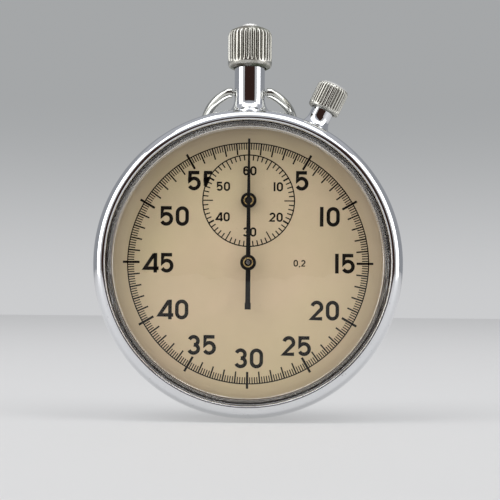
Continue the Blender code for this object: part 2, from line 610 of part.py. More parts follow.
def build_train():
    # Hour arbor, which carries the minute hand round once in 60 minutes
    build_arbor("hour_arbor", HOUR_AT, [
        (11.6, 12.2, 0.4), (8.95, 11.6, 0.55), (4.1, 8.95, 0.6), (1.6, 4.1, THICK_PIVOT_R)],
        HOUR_LEAVES, BARREL_MODULE, hour_pinion_phase(), (7.2, 8.2))
    third_pinion_phase = mesh_phase(HOUR_AT, HOUR_TEETH, 0.0, THIRD_AT, THIRD_LEAVES)
    wheel("hour_wheel", HOUR_AT, HOUR_TEETH, HOUR_MODULE, 0.0, HOUR_WHEEL_Z, 0.65, "brass")
    flat("minute_heart_cam", [heart_outline(0.75, 1.6), circle(THICK_PIVOT_R + 0.05, 10)], CAM_Z, "steel", HOUR_AT)

    # Third arbor
    build_arbor("third_arbor", THIRD_AT, [
        (8.95, 10.0, PIVOT_R), (4.1, 8.95, 0.4), (2.9, 4.1, PIVOT_R)],
        THIRD_LEAVES, HOUR_MODULE, third_pinion_phase, (8.25, 8.9))
    wheel("third_wheel", THIRD_AT, THIRD_TEETH, THIRD_MODULE, 0.0, THIRD_WHEEL_Z, 0.45, "brass")

    # Seconds arbor, which carries the sweep hand round once a minute
    seconds_pinion_phase = mesh_phase(THIRD_AT, THIRD_TEETH, 0.0, SECONDS_AT, SECONDS_LEAVES)
    build_arbor("seconds_arbor", SECONDS_AT, [
        (12.3, 13.1, 0.4), (8.95, 12.3, 0.55), (4.1, 8.95, 0.4), (1.6, 4.1, THICK_PIVOT_R)],
        SECONDS_LEAVES, THIRD_MODULE, seconds_pinion_phase, (4.15, 4.8))
    wheel("seconds_wheel", SECONDS_AT, SECONDS_TEETH, SECONDS_MODULE, 0.0, SECONDS_WHEEL_Z, 0.45, "brass")
    flat("seconds_heart_cam", [heart_outline(0.75, 1.6), circle(THICK_PIVOT_R + 0.05, 10)], CAM_Z, "steel",
         SECONDS_AT)

    # Escape wheel
    escape_phase = mesh_phase(SECONDS_AT, SECONDS_TEETH, 0.0, ESCAPE_AT, ESCAPE_LEAVES)
    build_arbor("escape_arbor", ESCAPE_AT, [
        (8.95, 10.0, PIVOT_R), (4.1, 8.95, 0.28), (2.9, 4.1, PIVOT_R)],
        ESCAPE_LEAVES, SECONDS_MODULE, escape_phase, (4.9, 5.5))
    club = []
    for i in range(ESCAPE_TEETH):
        middle = tau * i / ESCAPE_TEETH
        for offset, radius in ((-0.11, ESCAPE_R - 0.85), (0.02, ESCAPE_R - 0.1), (0.08, ESCAPE_R),
                               (0.06, ESCAPE_R - 0.2), (0.05, ESCAPE_R - 0.85)):
            club.append(step((0, 0), middle + offset, radius))
    flat("escape_wheel", [club, circle(0.33, 10), *spoke_windows(0.75, 1.75, 4, 0.18, 4)], ESCAPE_Z, "steel",
         ESCAPE_AT)


def wheel(name, at, teeth, module, phase, heights, bore, slot, spokes=4):
    rim = teeth * module / 2 - 1.1 * module - 0.5
    windows = spoke_windows(bore + 0.9, rim, spokes, 0.35, 6)
    return flat(name, [toothed(teeth, module, phase), circle(bore, 10), *windows], heights, slot, at)


def hand_outline(hub_r, tip, tail, hub_half, tip_half, tail_half):
    """A hand that points to the 12, with a round hub and, if tail is more than the hub, a tail."""
    top = sqrt(hub_r**2 - hub_half**2)
    points = [(hub_half, top), (tip_half, tip), (-tip_half, tip), (-hub_half, top)]
    left = atan2(top, -hub_half)
    if tail > hub_r:
        foot = sqrt(hub_r**2 - tail_half**2)
        low_left, low_right = atan2(-foot, -tail_half) + tau, atan2(-foot, tail_half) + tau
        points += arc((0, 0), hub_r, left, low_left, 9)[1:]
        points += [(-tail_half, -tail + 1), (-tail_half - 0.1, -tail + 1), (-tail_half - 0.1, -tail),
                   (tail_half + 0.1, -tail), (tail_half + 0.1, -tail + 1), (tail_half, -tail + 1)]
        points += arc((0, 0), hub_r, low_right, atan2(top, hub_half) + tau, 9)[:-1]
    else:
        points += arc((0, 0), hub_r, left, atan2(top, hub_half) + tau, 18)[1:-1]
    return points


def build_hands():
    flat("minute_hand", [hand_outline(1.33, 6.9, 0, 0.25, 0.1, 0), circle(0.45, 12)], MINUTE_HAND_Z, "black",
         HOUR_AT)
    flat("sweep_hand", [hand_outline(1.35, 21.8, 8.2, 0.4, 0.12, 0.42), circle(0.45, 12)], SWEEP_HAND_Z,
         "black", SECONDS_AT)


# ---------------------------------------------------------------------------------------------------------
# Escapement and balance
# ---------------------------------------------------------------------------------------------------------
def build_escapement():
    along = ESCAPEMENT_ANGLE
    # The fork: two pallet arms that reach back over the escape wheel, and a lever towards the balance
    lever = bar((0, 0), step((0, 0), along, 2.75), 0.45, 0.3, 4)
    fork = flat("pallet_fork", [lever], FORK_Z, "steel", FORK_AT)
    pieces = []
    for side in (1, -1):
        elbow = step((0, 0), along + side * radians(95), 1.9)
        stone = step(elbow, along + pi, 0.85)
        pieces.append(flat(f"pallet_arm_{side}", [bar((0, 0), elbow, 0.35, 0.3, 4)], FORK_Z, None, FORK_AT))
        pieces.append(flat(f"pallet_stone_{side}", [bar(elbow, stone, 0.22, 0.16, 3)], FORK_Z, None, FORK_AT))
    pieces.append(stepped("fork_arbor_shape", [
        (8.9, 10.0, PIVOT_R), (6.0, 8.9, 0.3), (5.45, 6.0, PIVOT_R)], None, FORK_AT, 12))
    join(fork, *pieces)

    across = (cos(along + pi / 2), sin(along + pi / 2))
    ends = [(across[0] * 3.2 * side, across[1] * 3.2 * side) for side in (1, -1)]
    bridge = flat("fork_bridge", [bar(ends[0], ends[1], 0.8, 0.8, 6), circle(PIVOT_R + PIVOT_GAP, 8)],
                  FORK_BRIDGE_Z, "gilt", FORK_AT)
    feet = [rod(f"fork_bridge_foot_{i}", 0.7, FORK_BRIDGE_Z[1] - 0.2, PLATE_Z[0] - GAP,
                (FORK_AT[0] + x, FORK_AT[1] + y), steps=12) for i, (x, y) in enumerate(ends)]
    join(bridge, *feet)

    flat("balance_wheel", [circle(BALANCE_R, 40), circle(0.45, 10),
                           *spoke_windows(1.2, BALANCE_R - 0.7, 3, 0.3, 9)], BALANCE_Z, "brass", BALANCE_AT)
    roller_r = 0.75
    stepped("balance_staff", [
        (8.9, 10.0, PIVOT_R), (7.0, 8.9, 0.3), (6.35, 7.0, roller_r), (3.3, 6.35, 0.4),
        (2.3, 3.3, PIVOT_R)], "steel", BALANCE_AT, 14)
    flat("hairspring", [spiral(0.7, 3.4, 6, 0.1, 14)], HAIRSPRING_Z, "blued", BALANCE_AT)


# ---------------------------------------------------------------------------------------------------------
# Start, stop and reset work
# ---------------------------------------------------------------------------------------------------------
HAMMER_Z = (1.75, 2.55)


def from_pivot(pivot, point):
    return point[0] - pivot[0], point[1] - pivot[1]


def build_levers():
    # The reset hammer: the button's plunger pushes its pin, and its two heads swing to the heart cams
    pin_at = step((0, 0), pi / 2 - BUTTON_ANGLE, 20.4)
    seconds_head = from_pivot(HAMMER_AT, step(SECONDS_AT, radians(115), 4.15))
    hour_head = from_pivot(HAMMER_AT, step(HOUR_AT, radians(78), 4.1))
    hammer = flat("reset_hammer", [bar((0, 0), from_pivot(HAMMER_AT, pin_at), 1.5, 0.8), circle(0.55, 10)],
                  HAMMER_Z, "steel", HAMMER_AT)
    elbow = from_pivot(HAMMER_AT, (7.6, 7.2))
    helpers = [
        flat("hammer_arm_a", [bar((-1.6, 0), elbow, 0.8, 0.7)], HAMMER_Z, None, HAMMER_AT),
        flat("hammer_arm_b", [bar(elbow, seconds_head, 0.7, 0.5)], HAMMER_Z, None, HAMMER_AT),
        flat("hammer_arm_c", [bar(elbow, hour_head, 0.6, 0.5)], HAMMER_Z, None, HAMMER_AT),
        rod("hammer_pin", 0.45, HAMMER_Z[0] + 0.1, 8.0, pin_at, steps=10),
    ]
    join(hammer, *helpers)
    stepped("hammer_screw", [(1.65, 3.9, 0.45), (1.2, 1.65, 1.0)], "steel", HAMMER_AT, 12)

    # The start lever: the stem's end pushes it, and its pawl turns the column wheel
    lever_z = (6.2, 6.8)
    tail = from_pivot(START_LEVER_AT, (0.2, 15.9))
    pawl = from_pivot(START_LEVER_AT, (9.2, 12.9))
    lever = flat("start_lever", [bar((0, 0), tail, 1.2, 0.5), circle(0.6 + PIVOT_GAP, 10)], lever_z, "steel",
                 START_LEVER_AT)
    join(lever, flat("start_lever_pawl", [bar((0.9, -0.9), pawl, 0.4, 0.25)], lever_z, None, START_LEVER_AT))

    # The column wheel, a ratchet with six columns on its front face
    ratchet = []
    for i in range(12):
        ratchet += [step((0, 0), tau * (i + share) / 12, radius) for share, radius in ((0, 2.9), (0.7, 2.3))]
    columns = flat("column_wheel", [ratchet, circle(0.7 + PIVOT_GAP, 10)], (5.9, 6.9), "steel", COLUMN_WHEEL_AT)
    teeth = [flat(f"column_{i}", [arc((0, 0), 2.1, tau * i / 6, tau * (i + 0.5) / 6, 4)
                                  + arc((0, 0), 1.2, tau * (i + 0.5) / 6, tau * i / 6, 3)],
                  (4.8, 6.1), None, COLUMN_WHEEL_AT) for i in range(6)]
    join(columns, *teeth)

    # The brake lever: its nose rides on the columns, and its tail stops the balance's rim
    brake_z = (4.5, 5.0)
    nose = from_pivot(BRAKE_AT, (13.52, 8.77))
    rim_touch = step(BALANCE_AT, radians(28), BALANCE_R + 0.75)
    brake = flat("brake_lever", [bar((0, 0), nose, 1.3, 0.4), circle(0.6 + PIVOT_GAP, 10)], brake_z, "steel",
                 BRAKE_AT)
    join(brake, flat("brake_tail", [bar((-0.6, -1.2), from_pivot(BRAKE_AT, rim_touch), 0.5, 0.3)], brake_z, None,
                     BRAKE_AT))


def build_dial():
    dial = flat("dial", [circle(DIAL_R, 48), circle(0.75, 12), circle(0.75, 12, HOUR_AT)], DIAL_Z, "dial")
    feet = [rod(f"dial_foot_{i}", 0.5, 9.3, DIAL_Z[0] + 0.2, at, steps=10) for i, at in enumerate(DIAL_FEET_AT)]
    join(dial, *feet)


build_case()
build_bow()
build_crown()
build_reset_button()
build_plates()
build_balance_cock()
build_winding()
build_barrel()
build_train()
build_hands()
build_escapement()
build_levers()
build_dial()
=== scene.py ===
"""The stopwatch's looks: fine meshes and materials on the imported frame.

Shapes are drawn in millimetres on the watch's own axes: x to the right, y to the 12 and z from the back
cover's flat face to the crystal. WATCH, CROWN and BUTTON carry them into the frame, in metres.
"""

import json
from math import atan2, cos, hypot, pi, radians, sin, sqrt, tau

import bpy
from mathutils import Matrix, Vector


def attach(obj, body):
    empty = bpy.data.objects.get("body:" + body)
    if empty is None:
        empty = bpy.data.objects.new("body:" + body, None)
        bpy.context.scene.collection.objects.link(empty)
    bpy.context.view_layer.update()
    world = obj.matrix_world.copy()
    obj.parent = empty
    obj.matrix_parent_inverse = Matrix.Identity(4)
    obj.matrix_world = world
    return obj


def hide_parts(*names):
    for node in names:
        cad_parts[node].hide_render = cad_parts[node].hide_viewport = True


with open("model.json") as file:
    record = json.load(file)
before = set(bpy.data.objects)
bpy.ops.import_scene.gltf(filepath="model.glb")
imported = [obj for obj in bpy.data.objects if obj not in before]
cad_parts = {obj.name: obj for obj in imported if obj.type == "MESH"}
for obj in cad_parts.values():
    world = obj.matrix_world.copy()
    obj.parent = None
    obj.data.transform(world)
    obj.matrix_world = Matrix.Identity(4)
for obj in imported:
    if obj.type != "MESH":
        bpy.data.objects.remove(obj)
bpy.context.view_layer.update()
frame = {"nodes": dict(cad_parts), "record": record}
MM = 0.001

# ---------------------------------------------------------------------------------------------------------
# Sizes, in millimetres, as in the solids
# ---------------------------------------------------------------------------------------------------------
BUTTON_Z, BUTTON_ANGLE = 7.0, radians(25.5)
DIAL_FACE = 11.2
HOUR_AT = (0.0, 11.0)
SCALE_R, SUB_R = 21.2, 8.1
DIAL_R = 24.2
KNURLS, STEPS_PER_KNURL = 30, 16
NECK_TOP, NECK_R, NECK_BORE = 37.4, 2.75, 1.75
TUBE_TOP, TUBE_R, TUBE_BORE = 32.7, 2.0, 1.35
CROWN_LOW, CROWN_TOP, CROWN_R, CROWN_GROOVE_R = 35.5, 43.5, 4.0, 3.56
CROWN_SOCKET_R, CROWN_ROOF, STEM_R, STEM_TOP = 2.95, 38.7, 0.95, 41.4
CAP_LOW, CAP_TOP, CAP_R, CAP_GROOVE_R = 30.9, 36.1, 2.95, 2.76
CAP_SOCKET_R, CAP_ROOF, PLUNGER_R, PLUNGER_TOP = 2.2, 34.1, 0.85, 35.5
BOW_PIVOT, BOW_RING_R, BOW_WIRE_R, BOW_PIN_R = 31.0, 8.2, 0.85, 0.45
BOW_PIN_X, BOW_END_X, BOW_SHOULDER_X = 1.85, 3.15, 3.75
BOW_FACE_R, BOW_COLLAR_R, BOW_SHOULDER_R = 0.90, 0.98, 0.96
BOW_STEPS = 96
BOW_REST = radians(42)
SWEEP_HAND_Z, SWEEP_HUB_Z = (12.5, 12.72), (12.6, 13.0)
MINUTE_HAND_Z, MINUTE_HUB_Z = (11.75, 11.9), (11.8, 12.2)
HUB_R, HUB_BORE_R = 0.86, 0.66

WATCH = Matrix.Scale(MM, 4) @ Matrix.Rotation(pi / 2, 4, "X")
OUTWARDS = Matrix.Translation((0, 0, BUTTON_Z))
CROWN = WATCH @ OUTWARDS @ Matrix.Rotation(-pi / 2, 4, "X")
BUTTON = WATCH @ OUTWARDS @ Matrix.Rotation(-BUTTON_ANGLE, 4, "Z") @ Matrix.Rotation(-pi / 2, 4, "X")


def step(start, angle, reach):
    """The point at a distance and an angle from the start."""
    return start[0] + reach * cos(angle), start[1] + reach * sin(angle)


# ---------------------------------------------------------------------------------------------------------
# Materials
# ---------------------------------------------------------------------------------------------------------
RELIEF = 0.00001  # the depth of all bumps, in metres


class Nodes:
    """Short names for the shader nodes that the materials share. Every input may be a value or a socket."""

    def __init__(self, name):
        self.material = bpy.data.materials.new(name)
        self.material.use_nodes = True
        self.tree = self.material.node_tree
        self.shader = self.tree.nodes["Principled BSDF"]
        self.output = self.tree.nodes["Material Output"]
        self.place = self.new("ShaderNodeTexCoord").outputs["Object"]

    def new(self, kind, **inputs):
        node = self.tree.nodes.new(kind)
        for key, value in inputs.items():
            self.put(node.inputs[key.replace("_", " ")], value)
        return node

    def put(self, socket, value):
        if isinstance(value, bpy.types.NodeSocket):
            self.tree.links.new(value, socket)
        else:
            socket.default_value = value

    def math(self, operation, a, b=0.0):
        node = self.tree.nodes.new("ShaderNodeMath")
        node.operation = operation
        self.put(node.inputs[0], a)
        self.put(node.inputs[1], b)
        return node.outputs[0]

    def vector_math(self, operation, a, b=(0, 0, 0)):
        node = self.tree.nodes.new("ShaderNodeVectorMath")
        node.operation = operation
        self.put(node.inputs[0], a)
        self.put(node.inputs[1], b)
        return node.outputs["Value" if operation in ("LENGTH", "DOT_PRODUCT") else "Vector"]

    def stretched(self, stretch):
        node = self.new("ShaderNodeMapping", Vector=self.place)
        node.inputs["Scale"].default_value = stretch
        return node.outputs["Vector"]

    def noise(self, scale, detail=3.0, stretch=(1, 1, 1)):
        place = self.stretched(stretch)
        return self.new("ShaderNodeTexNoise", Vector=place, Scale=scale, Detail=detail).outputs["Fac"]

    def ramp(self, value, low, high, out_low=0.0, out_high=1.0):
        node = self.new("ShaderNodeMapRange", Value=value)
        for key, number in (("From Min", low), ("From Max", high), ("To Min", out_low), ("To Max", out_high)):
            node.inputs[key].default_value = number
        return node.outputs["Result"]

    def blend(self, share, a, b):
        node = self.tree.nodes.new("ShaderNodeMix")
        node.data_type = "RGBA"
        self.put(node.inputs[0], share)
        for socket, value in ((node.inputs[6], a), (node.inputs[7], b)):
            self.put(socket, value if isinstance(value, bpy.types.NodeSocket) else (*value, 1))
        return node.outputs[2]

    def bump(self, height, strength):
        node = self.new("ShaderNodeBump", Height=height, Strength=strength, Distance=RELIEF)
        self.put(self.shader.inputs["Normal"], node.outputs["Normal"])

    def set(self, **inputs):
        """Inputs of the main shader, with colours given as three numbers."""
        for key, value in inputs.items():
            if isinstance(value, tuple) and len(value) == 3:
                value = (*value, 1)
            self.put(self.shader.inputs[key.replace("_", " ")], value)


def chrome(name, colour, gloss, wear, pits=0.0):
    """Polished plate: fine hairlines in the gloss, cloudy patches and, where worn, small dark pits."""
    m = Nodes(name)
    hairlines = m.noise(scale=900, detail=2, stretch=(1, 1, 14))
    clouds = m.noise(scale=140, detail=4)
    specks = m.ramp(m.noise(scale=2600, detail=1), 0.72 - pits, 0.80 - pits)
    dull = m.math("MULTIPLY", m.ramp(clouds, 0.45, 0.75), wear)
    rough = m.math("ADD", m.ramp(hairlines, 0.3, 0.8, gloss * 0.7, gloss * 1.5), dull)
    m.set(Base_Color=m.blend(m.math("MULTIPLY", specks, 0.55), colour, (0.20, 0.18, 0.15)),
          Metallic=1.0, Roughness=rough)
    m.bump(m.math("ADD", hairlines, m.math("MULTIPLY", clouds, 2.0)), 0.12)
    return m.material


def knurled_plate(name, axis, groove_r, crest_r, top, grime):
    """Worn nickel: bright rubbed crests, a satin end whose paler colour is a painted highlight, and dirt with
    a green cast in the grooves.

    All of it goes by the distance from the knob's axis and the height along it.
    """
    m = Nodes(name)
    along_axis = (axis.to_3x3() @ Vector((0, 0, 1))).normalized()
    offset = m.vector_math("SUBTRACT", m.place, axis @ Vector((0, 0, 0)))
    reach = m.vector_math("LENGTH", m.vector_math("CROSS_PRODUCT", offset, along_axis))
    height = m.vector_math("DOT_PRODUCT", offset, along_axis)
    shortening = m.vector_math("MULTIPLY", m.math("MULTIPLY", height, 0.9), along_axis)
    drawn_out = m.vector_math("SUBTRACT", offset, shortening)
    streaks = m.new("ShaderNodeTexNoise", Vector=drawn_out, Scale=900, Detail=3.0).outputs["Fac"]
    depth = m.ramp(reach, (groove_r + 0.02) * MM, (crest_r - 0.08) * MM, grime, 0)
    below_top = m.ramp(height, (top - 0.7) * MM, (top - 0.2) * MM, 1, 0)
    patches = m.ramp(m.noise(scale=420), 0.35, 0.6, 0.45, 1)
    dirt = m.math("MULTIPLY", m.math("MULTIPLY", depth, patches), below_top)
    brown, green = (0.050, 0.040, 0.022), (0.040, 0.058, 0.020)
    tint = m.blend(m.ramp(m.noise(scale=200, detail=2), 0.42, 0.6), brown, green)
    rubbed = m.blend(m.ramp(streaks, 0.35, 0.7), (0.68, 0.67, 0.62), (0.44, 0.43, 0.38))
    # The end face: rougher, and painted paler than the crests as a painted highlight on the knob's top
    highlit_satin_end = m.ramp(height, (top - 0.62) * MM, (top - 0.45) * MM)
    plate = m.blend(highlit_satin_end, rubbed, (0.90, 0.89, 0.86))
    rough = m.math("ADD", m.ramp(streaks, 0.3, 0.7, 0.15, 0.34), m.math("MULTIPLY", highlit_satin_end, 0.2))
    m.set(Base_Color=m.blend(dirt, plate, tint),
          Metallic=m.math("SUBTRACT", 1.0, m.math("MULTIPLY", dirt, 0.8)),
          Roughness=m.math("ADD", rough, m.math("MULTIPLY", dirt, 0.35)))
    m.bump(streaks, 0.12)
    return m.material


def dial_paint(name):
    """Aged cream lacquer: slow mottling, faint speckles, and painted shade that darkens it brown towards the
    edge.
    """
    m = Nodes(name)
    mottle = m.ramp(m.noise(scale=90, detail=4), 0.3, 0.7)
    speckle = m.ramp(m.noise(scale=1700, detail=2), 0.70, 0.78)
    # Painted shade: the cream darkens to brown towards the dial's edge, by the bezel
    edge_shade = m.ramp(m.vector_math("LENGTH", m.stretched((1, 0, 1))), (SCALE_R - 0.7) * MM, DIAL_R * MM)
    warmth = m.ramp(m.noise(scale=38, detail=1), 0.40, 0.60)
    greenish, pinkish = (0.640, 0.545, 0.355), (0.680, 0.545, 0.390)
    cream = m.blend(mottle, m.blend(warmth, greenish, pinkish), (0.610, 0.505, 0.345))
    aged_and_edge_shaded = m.blend(m.math("MULTIPLY", edge_shade, 0.35), cream, (0.50, 0.40, 0.30))
    m.set(Base_Color=m.blend(m.math("MULTIPLY", speckle, 0.25), aged_and_edge_shaded, (0.25, 0.17, 0.09)),
          Roughness=m.ramp(m.noise(scale=700), 0.3, 0.7, 0.38, 0.5), Specular_IOR_Level=0.4)
    m.bump(m.noise(scale=2500), 0.15)
    return m.material


def ink(name, colour, rough):
    """Black ink or paint with a fine grain."""
    m = Nodes(name)
    grain = m.noise(scale=4000)
    m.set(Base_Color=m.blend(m.ramp(grain, 0.5, 0.8, 0, 0.2), colour, (0.06, 0.045, 0.035)),
          Roughness=m.ramp(grain, 0.3, 0.7, rough, rough + 0.12), Specular_IOR_Level=0.15)
    m.bump(grain, 0.1)
    return m.material


def acrylic(name):
    """Clear acrylic with a trace of yellow, fine scratches, and light let through to the dial.

    Its index is below real acrylic's 1.49, so that the floor's reflection does not veil the lower numbers.
    """
    m = Nodes(name)
    scratches = m.ramp(m.noise(scale=260, detail=2, stretch=(9, 1, 1)), 0.68, 0.75)
    m.set(Base_Color=(1.0, 0.985, 0.955), Roughness=m.math("MULTIPLY", scratches, 0.05),
          Transmission_Weight=1.0, IOR=1.27)
    m.bump(scratches, 0.02)
    clear = m.new("ShaderNodeBsdfTransparent", Color=(0.97, 0.96, 0.93, 1))
    shadow = m.new("ShaderNodeLightPath").outputs["Is Shadow Ray"]
    mixed = m.tree.nodes.new("ShaderNodeMixShader")
    m.put(mixed.inputs[0], shadow)
    m.put(mixed.inputs[1], m.shader.outputs[0])
    m.put(mixed.inputs[2], clear.outputs[0])
    m.put(m.output.inputs["Surface"], mixed.outputs[0])
    return m.material


def movement_metal(name, colour, gloss, grain_scale, grain_stretch):
    """Metal inside the movement, with a machined grain."""
    m = Nodes(name)
    grain = m.noise(scale=grain_scale, stretch=grain_stretch)
    tone = m.blend(m.ramp(m.noise(scale=200), 0.35, 0.65), colour, tuple(c * 0.82 for c in colour))
    m.set(Base_Color=tone, Metallic=1.0, Roughness=m.ramp(grain, 0.3, 0.7, gloss, gloss + 0.18))
    m.bump(grain, 0.2)
    return m.material


def jewel(name):
    """Ruby in two depths of red."""
    m = Nodes(name)
    depth = m.noise(scale=1200, detail=2)
    m.set(Base_Color=m.blend(depth, (0.62, 0.03, 0.12), (0.42, 0.01, 0.07)),
          Roughness=m.ramp(depth, 0.3, 0.7, 0.04, 0.12), IOR=1.76)
    return m.material


MAT = {
    "chrome": chrome("polished_chrome", (0.80, 0.81, 0.83), 0.045, 0.05),
    "case_chrome": chrome("worn_chrome", (0.78, 0.79, 0.81), 0.07, 0.10, 0.02),
    "ring_chrome": chrome("tension_ring_chrome", (0.74, 0.73, 0.72), 0.10, 0.10),
    "bow_plate": chrome("worn_bow_plate", (0.62, 0.62, 0.575), 0.13, 0.12),
    "crown": knurled_plate("worn_nickel_crown", CROWN, CROWN_GROOVE_R, CROWN_R, CROWN_TOP, 1.0),
    "button": knurled_plate("worn_nickel_button", BUTTON, CAP_GROOVE_R, CAP_R, CAP_TOP, 0.55),
    "dial": dial_paint("aged_dial_lacquer"),
    "print": ink("dial_ink", (0.0055, 0.0045, 0.0040), 0.5),
    "hand": ink("hand_paint", (0.010, 0.010, 0.011), 0.28),
    "crystal": acrylic("clear_acrylic"),
    "brass": movement_metal("turned_brass", (0.70, 0.52, 0.24), 0.18, 900, (1, 1, 1)),
    "gilt": movement_metal("gilt_plate", (0.80, 0.66, 0.38), 0.28, 1600, (1, 1, 1)),
    "steel": movement_metal("polished_steel", (0.55, 0.56, 0.58), 0.12, 1400, (1, 1, 6)),
    "blued": movement_metal("blued_steel", (0.05, 0.08, 0.30), 0.15, 1400, (1, 1, 1)),
    "ruby": jewel("synthetic_ruby"),
}


# ---------------------------------------------------------------------------------------------------------
# Meshes
# ---------------------------------------------------------------------------------------------------------
def piece(name, points, faces, place, material, body, nodes, sharp=38):
    """A mesh piece from points in millimetres, carried by place into the frame."""
    mesh = bpy.data.meshes.new(name)
    mesh.from_pydata([place @ Vector(p) for p in points], [], faces)
    mesh.validate()
    mesh.shade_smooth()
    mesh.set_sharp_from_angle(angle=radians(sharp))
    made = bpy.data.objects.new(name, mesh)
    bpy.context.scene.collection.objects.link(made)
    mesh.materials.append(MAT[material])
    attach(made, body)
    if nodes:
        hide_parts(*nodes)


def rounded(profile, reach):
    """The profile with each inner corner turned into a short curve that starts reach millimetres from it."""
    points = 5
    smooth = [profile[0]]
    for before, corner, after in zip(profile, profile[1:], profile[2:]):
        ends = []
        for other in (before, after):
            length = hypot(other[0] - corner[0], other[1] - corner[1])
            share = min(reach, length * 0.45) / length
            ends.append((corner[0] + (other[0] - corner[0]) * share,
                         corner[1] + (other[1] - corner[1]) * share))
        for i in range(points):
            t = i / (points - 1)
            smooth.append(tuple(ends[0][k] * (1 - t)**2 + corner[k] * 2 * t * (1 - t) + ends[1][k] * t * t
                                for k in (0, 1)))
    smooth.append(profile[-1])
    return smooth


def turned_mesh(profile, steps, reach=None):
    """Points and faces of a turned solid. A profile off the axis is closed into a ring.

    reach(radius, height, angle) may give each point its own radius.
    """
    on_axis = profile[0][0] == 0
    inner = profile[1:-1] if on_axis else profile
    points, faces = [], []
    for radius, height in inner:
        for i in range(steps):
            angle = tau * i / steps
            own = reach(radius, height, angle) if reach else radius
            points.append((*step((0, 0), angle, own), height))
    rows = len(inner)
    for row in range(rows if not on_axis else rows - 1):
        above, below = row * steps, (row + 1) % rows * steps
        for i in range(steps):
            following = (i + 1) % steps
            faces.append((above + i, below + i, below + following, above + following))
    if on_axis:
        top, bottom = len(points), len(points) + 1
        points += [(0, 0, profile[0][1]), (0, 0, profile[-1][1])]
        for i in range(steps):
            following = (i + 1) % steps
            faces.append((top, i, following))
            faces.append((bottom, (rows - 1) * steps + following, (rows - 1) * steps + i))
    return points, faces


def turned(name, profile, place, material, body, nodes, steps, corner, sharp=38):
    """A turned piece whose inner corners are rounded."""
    points, faces = turned_mesh(rounded(profile, corner), steps)
    piece(name, points, faces, place, material, body, nodes, sharp)


# ---------------------------------------------------------------------------------------------------------
# Case
# ---------------------------------------------------------------------------------------------------------
def build_case():
    """The outside of the case. The neck and the button tube are pieces of their own on the case's band."""
    turned("case_band", [
        (25.9, 12.6), (25.9, 11.62), (27.0, 11.62), (27.32, 11.0), (27.46, 9.6), (27.5, 8.2), (27.5, 6.8),
        (27.36, 5.5), (27.0, 4.5), (26.45, 3.85), (25.5, 3.85), (25.5, 3.15), (24.9, 3.15), (24.9, 12.6)],
        WATCH, "case_chrome", "case", ["case_body"], 256, 0.3)
    turned("case_neck", [
        (NECK_BORE, NECK_TOP), (NECK_R - 0.25, NECK_TOP), (NECK_R, NECK_TOP - 0.25), (NECK_R, 33.0),
        (NECK_R, 30.2), (NECK_R + 0.07, 29.3), (3.05, 28.5), (3.5, 27.8), (4.2, 27.25), (4.2, 26.2),
        (NECK_BORE, 26.2)],
        CROWN, "chrome", "case", [], 96, 0.35)
    turned("button_tube", [
        (TUBE_BORE, TUBE_TOP), (TUBE_R - 0.15, TUBE_TOP), (TUBE_R, TUBE_TOP - 0.15), (TUBE_R, 29.4),
        (TUBE_R + 0.1, 28.7), (2.45, 28.0), (3.0, 27.35), (3.1, 26.4), (TUBE_BORE, 26.4)],
        BUTTON, "chrome", "case", [], 96, 0.3)
    turned("polished_bezel", [
        (24.7, 14.9), (24.82, 15.2), (25.1, 15.3), (25.7, 15.12), (26.3, 14.65), (26.75, 13.9), (27.02, 13.1),
        (27.15, 12.3), (27.15, 11.85), (27.0, 11.75), (26.05, 11.75), (26.05, 12.8), (23.6, 12.8),
        (23.6, 13.05), (24.7, 13.05)],
        WATCH, "chrome", "case", ["front_bezel"], 320, 0.25)
    turned("domed_crystal", [
        (0, 19.0), (4, 18.95), (8, 18.8), (14, 18.25), (18.5, 17.4), (21.5, 16.6), (23.4, 15.9),
        (24.25, 15.4), (24.6, 14.9), (24.6, 13.15), (24.1, 13.15), (24.1, 14.7), (23.85, 15.05),
        (23.15, 15.45), (21.35, 16.12), (18.4, 16.9), (13.92, 17.75), (8, 18.3), (4, 18.45), (0, 18.5)],
        WATCH, "crystal", "case", ["crystal"], 256, 0.9, sharp=60)
    turned("tension_ring", [
        (23.65, 14.15), (23.9, 14.2), (23.95, 13.2), (23.65, 13.15)],
        WATCH, "ring_chrome", "case", ["crystal_ring"], 256, 0.08)
    turned("snap_back", [
        (0, 0.9), (21.0, 0.9), (22.3, 1.15), (23.5, 1.7), (24.6, 2.45), (25.4, 3.0), (25.6, 3.05),
        (25.6, 3.65), (26.3, 3.65), (26.48, 3.5), (26.42, 3.2), (26.0, 2.82), (25.0, 1.96), (24.0, 1.14),
        (23.0, 0.47), (22.0, 0.13), (21.0, 0.02), (20.2, 0.0), (19.85, 0.0), (19.75, 0.06), (19.5, 0.06),
        (19.4, 0.0), (10, 0.0), (0, 0.0)],
        WATCH, "case_chrome", "case", ["back_cover"], 256, 0.2)


RIDGE_ROUNDNESS = 3.2


def knurl(groove_r, crest_r, low, fade):
    """Grooves round a knob: rounded ridges with narrow valleys, which run out at the low end over fade."""
    def reach(radius, height, angle):
        if radius <= groove_r:
            return radius
        share = max(0.0, min(1.0, (height - low) / fade))
        across = abs((angle / tau * KNURLS) % 1 - 0.5) * 2
        cut = (crest_r - groove_r) * across**RIDGE_ROUNDNESS * share
        return max(groove_r, radius - cut)
    return reach


def filled(profile, spacing=0.35):
    """The profile with points added so that none stand further apart than spacing."""
    dense = [profile[0]]
    for a, b in zip(profile, profile[1:]):
        parts = max(1, int(hypot(b[0] - a[0], b[1] - a[1]) / spacing))
        dense += [(a[0] + (b[0] - a[0]) * i / parts, a[1] + (b[1] - a[1]) * i / parts)
                  for i in range(1, parts + 1)]
    return dense


def build_knob(name, profile, corner, cut, place, material, body, node):
    points, faces = turned_mesh(filled(rounded(profile, corner)), KNURLS * STEPS_PER_KNURL, cut)
    piece(name, points, faces, place, material, body, [node], 50)


